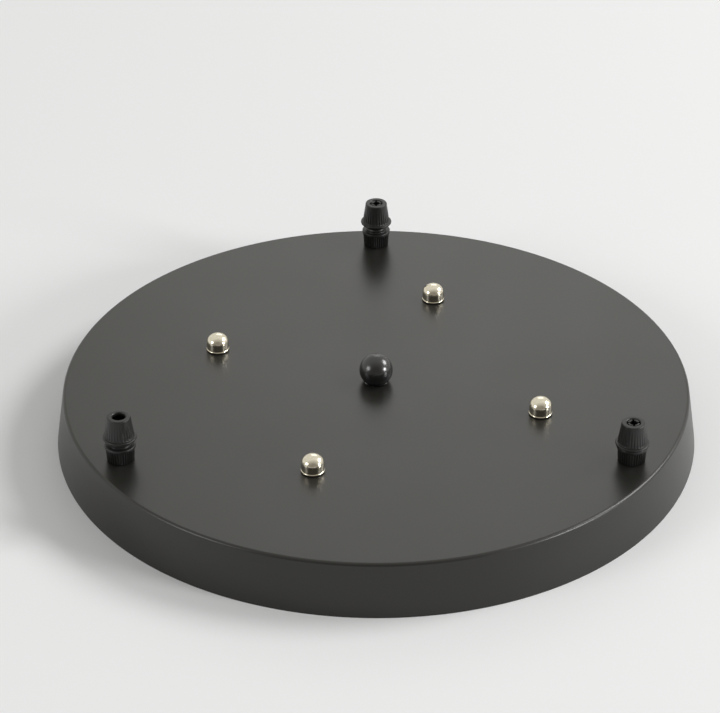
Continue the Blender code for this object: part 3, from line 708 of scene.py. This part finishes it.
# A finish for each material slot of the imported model
FINISHES = {
    "powder_coat": surface("powder_coat_finish", (0.0128, 0.0124, 0.0105), 0.34,
                           patch=0.035, grain=0.0005, relief=0.000006),
    "black_plastic": surface("black_plastic_finish", (0.010, 0.010, 0.0095), 0.38,
                             patch=0.004, grain=0.0003, relief=0.000008, ior=1.45),
    "gloss_black": surface("gloss_black_finish", (0.008, 0.008, 0.008), 0.24,
                           patch=0.006, grain=0.0012, relief=0.000004, spread=0.04, ior=1.7),
    "nickel": surface("nickel_finish", (0.80, 0.745, 0.61), 0.17, metallic=1.0,
                      mottle=0.20, patch=0.0015, grain=0.0008, relief=0.000004, spread=0.10),
    "zinc": surface("zinc_finish", (0.60, 0.62, 0.64), 0.30, metallic=1.0,
                    patch=0.006, grain=0.0005, relief=0.000006, mottle=0.10),
    "brass": surface("brass_finish", (0.72, 0.53, 0.24), 0.26, metallic=1.0,
                     patch=0.003, grain=0.0004, relief=0.000004),
}


def dress(node, mesh, turn=0.0, flipped=False):
    """Stand a fine mesh in its node's place, on its body and in its finish."""
    slot = SLOT_OF[node]
    if not mesh.materials:
        mesh.materials.append(FINISHES[slot])
    mesh.shade_smooth()
    mesh.set_sharp_from_angle(angle=math.radians(SHARP_ANGLE))
    piece = bpy.data.objects.new(node + "_surface", mesh)
    bpy.context.scene.collection.objects.link(piece)
    low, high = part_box(node)
    middle = (low + high) / 2
    piece.location = (middle.x, middle.y, high.z if flipped else low.z)
    piece.rotation_euler = (math.pi if flipped else 0.0, 0.0, turn)
    weighted = piece.modifiers.new("weighted_normals", "WEIGHTED_NORMAL")
    weighted.keep_sharp = True
    weighted.weight = NORMAL_WEIGHT
    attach(piece, BODY_OF[node])
    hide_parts(node)


def shank_length(node):
    """Length of a screw without its head, from its node's box."""
    low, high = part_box(node)
    return high.z - low.z - HEAD_HEIGHT


def dress_grips():
    body = grip_body_mesh()
    cap = grip_cap_mesh()
    collet = collet_mesh()
    lock_nut = lock_nut_mesh()
    for side in SIDES:
        dress(f"grip_body_{side}", body)
        dress(f"grip_cap_{side}", cap)
        dress(f"grip_collet_{side}", collet)
        dress(f"grip_lock_nut_{side}", lock_nut)


def dress_fixings():
    nut = cap_nut_mesh()
    screw = screw_mesh("bracket_screw", shank_length("bracket_screw_1"))
    for number in NUT_NUMBERS:
        dress(f"cap_nut_{number}", nut)
        dress(f"bracket_screw_{number}", screw)
    dress("centre_ball", ball_mesh())
    dress("centre_screw", screw_mesh("ball_screw", shank_length("centre_screw")))
    earth_screw = screw_mesh("earth_screw", shank_length("earth_screw"))
    dress("earth_screw", earth_screw, flipped=True)
    for node in ("centre_washer", "earth_washer"):
        low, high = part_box(node)
        dress(node, washer_mesh(node, (high.x - low.x) / 2, SCREW_HOLE_RADIUS, high.z - low.z))


def dress_cross():
    turn = math.radians(SCREW_ANGLE)
    rises = {}
    for node in ("cross_strip_lower", "cross_strip_upper"):
        low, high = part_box(node)
        rises[node] = high.z - low.z - STRIP_THICKNESS
    lower = strip_mesh("lower_strip", rises["cross_strip_lower"], has_earth_hole=False)
    upper = strip_mesh("upper_strip", rises["cross_strip_upper"], has_earth_hole=True)
    dress("cross_strip_lower", countersunk(lower), turn)
    dress("cross_strip_upper", upper, turn - math.pi / 2)
    dress("cross_rivet", rivet_mesh())


# Camera, from the outline of the pan in the photograph
CAMERA_LENS = 134.33
CAMERA_SENSOR = 36.0
CAMERA_TARGET = Vector((-0.0075, 0.0631, 0.0))
CAMERA_DISTANCE = 1.3265
CAMERA_TURN = math.radians(0.363)
CAMERA_ELEVATION = math.radians(31.58)
CAMERA_ROLL = math.radians(-0.121)
CAMERA_CLIP_START = 0.01

# Studio
FLOOR_SIZE = 12.0
FLOOR_COLOR = (0.87, 0.87, 0.87)
FLOOR_ROUGHNESS = 0.7
BACKDROP_COLOR = (0.80, 0.79, 0.745, 1.0)
FRONT_COLOR = (0.27, 0.255, 0.23, 1.0)
FILL_COLOR = (0.39, 0.39, 0.385, 1.0)

# The directions, by their share of Y, between which the dark front turns into the backdrop
FRONT_ENDS = -0.70
BACKDROP_STARTS = 0.05

# Lamps: name, direction, distance, width, height, share of the floor's level
LAMPS = (
    ("window_right_back", (0.743, 0.256, 0.618), 3.2, 1.6, 1.1, 0.305),
    ("lamp_right_front", (0.870, -0.340, 0.300), 4.5, 1.1, 1.1, 0.15),
    ("lamp_left_front", (-0.815, -0.386, 0.422), 2.8, 1.1, 1.2, 0.09),
    ("lamp_back", (0.07, 0.85, 0.52), 3.0, 1.4, 1.1, 0.024),
)


def add_camera():
    camera = bpy.data.objects.new("camera", bpy.data.cameras.new("camera"))
    bpy.context.scene.collection.objects.link(camera)
    camera.data.lens = CAMERA_LENS
    camera.data.sensor_width = CAMERA_SENSOR
    camera.data.clip_start = CAMERA_CLIP_START
    tilt = Matrix.Rotation(math.pi / 2 - CAMERA_ELEVATION, 4, "X")
    roll = Matrix.Rotation(CAMERA_ROLL, 4, "Z")
    back = Vector((0.0, -math.cos(CAMERA_ELEVATION), math.sin(CAMERA_ELEVATION)))
    turn = Matrix.Rotation(CAMERA_TURN, 4, "Z")
    place = Matrix.Translation(CAMERA_TARGET + back * CAMERA_DISTANCE)
    camera.matrix_world = turn @ place @ tilt @ roll
    bpy.context.scene.camera = camera


def add_floor():
    mesh = bpy.data.meshes.new("floor")
    half = FLOOR_SIZE / 2
    corners = [(-half, -half, 0.0), (half, -half, 0.0), (half, half, 0.0), (-half, half, 0.0)]
    mesh.from_pydata(corners, [], [(0, 1, 2, 3)])
    floor = bpy.data.objects.new("floor", mesh)
    bpy.context.scene.collection.objects.link(floor)
    mesh.materials.append(
        surface("floor_finish", FLOOR_COLOR, FLOOR_ROUGHNESS,
                mottle=0.01, patch=0.4, grain=0.002))


def add_lamp(name, direction, distance, width, height, share):
    """A soft oval lamp aimed at the origin that gives `share` of a plain level on the floor."""
    direction = Vector(direction).normalized()
    data = bpy.data.lights.new(name, "AREA")
    data.shape = "ELLIPSE"
    data.size = width
    data.size_y = height
    data.energy = share * math.pi ** 2 * distance ** 2 / direction.z
    lamp = bpy.data.objects.new(name, data)
    bpy.context.scene.collection.objects.link(lamp)
    lamp.location = direction * distance
    lamp.rotation_euler = direction.to_track_quat("Z", "Y").to_euler()


def add_world():
    """Gloss and the camera see a pale backdrop behind and a darker room in front; else a fill."""
    world = bpy.data.worlds.new("room")
    bpy.context.scene.world = world
    world.use_nodes = True
    nodes = world.node_tree.nodes
    links = world.node_tree.links
    coordinate = nodes.new("ShaderNodeTexCoord")
    direction = nodes.new("ShaderNodeSeparateXYZ")
    links.new(coordinate.outputs["Generated"], direction.inputs["Vector"])
    behind = nodes.new("ShaderNodeMapRange")
    behind.inputs["From Min"].default_value = FRONT_ENDS
    behind.inputs["From Max"].default_value = BACKDROP_STARTS
    links.new(direction.outputs["Y"], behind.inputs["Value"])
    room = nodes.new("ShaderNodeMix")
    room.data_type = "RGBA"
    room.inputs["A"].default_value = FRONT_COLOR
    room.inputs["B"].default_value = BACKDROP_COLOR
    links.new(behind.outputs["Result"], room.inputs["Factor"])
    path = nodes.new("ShaderNodeLightPath")
    seen = nodes.new("ShaderNodeMath")
    seen.operation = "MAXIMUM"
    links.new(path.outputs["Is Camera Ray"], seen.inputs[0])
    links.new(path.outputs["Is Glossy Ray"], seen.inputs[1])
    light = nodes.new("ShaderNodeMix")
    light.data_type = "RGBA"
    light.inputs["A"].default_value = FILL_COLOR
    links.new(seen.outputs["Value"], light.inputs["Factor"])
    links.new(room.outputs["Result"], light.inputs["B"])
    links.new(light.outputs["Result"], nodes["Background"].inputs["Color"])


def build_studio():
    add_camera()
    add_floor()
    add_world()
    for lamp in LAMPS:
        add_lamp(*lamp)
    bpy.context.scene.view_settings.view_transform = "Standard"


# The camera and light that a new Blender file has
for leftover in [item for item in bpy.data.objects if item.type in ("CAMERA", "LIGHT")]:
    bpy.data.objects.remove(leftover)
dress("canopy_pan", pan_mesh())
dress_grips()
dress_fixings()
dress_cross()
build_studio()
